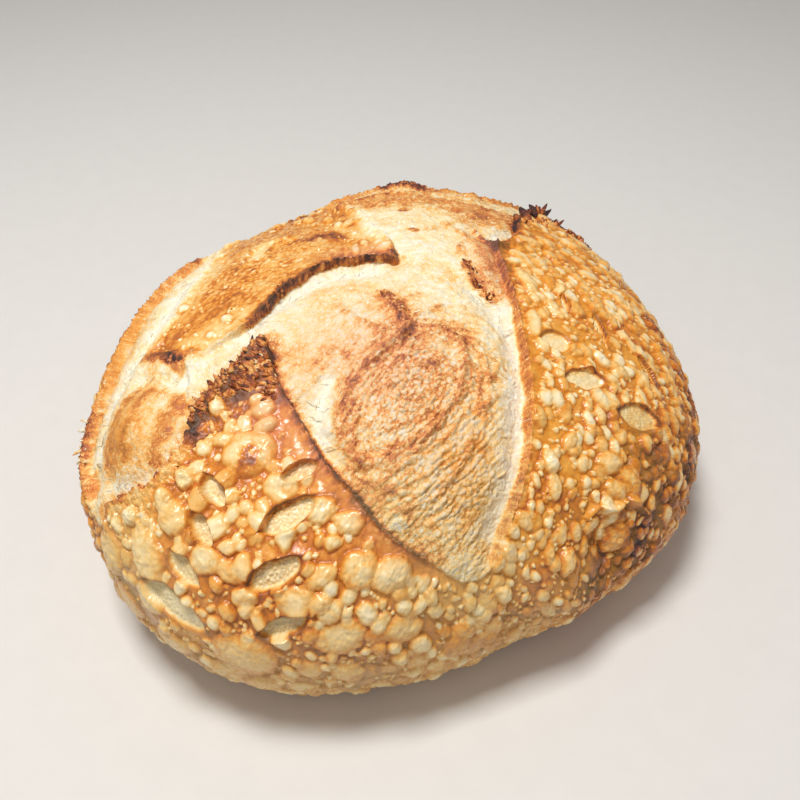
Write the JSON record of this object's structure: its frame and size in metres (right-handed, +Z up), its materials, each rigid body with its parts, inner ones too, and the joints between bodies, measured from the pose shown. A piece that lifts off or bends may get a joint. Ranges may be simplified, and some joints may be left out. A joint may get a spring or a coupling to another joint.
{
  "type": "sourdough loaf",
  "caption": "Round free-standing bread loaf with a flat base, a blistered crust, and curved cuts that opened into raised flaps over pale crumb.",
  "frame": {"origin": "under the middle of the loaf, at the level it stands on", "axes": "+Z up, -Y towards the side with the pointed front flap, +X to the right of that side"},
  "size_m": [0.2266, 0.2366, 0.1026],
  "materials": {
    "crust": null
  },
  "bodies": {
    "root": {"loaf": "crust"}
  },
  "joints": []
}
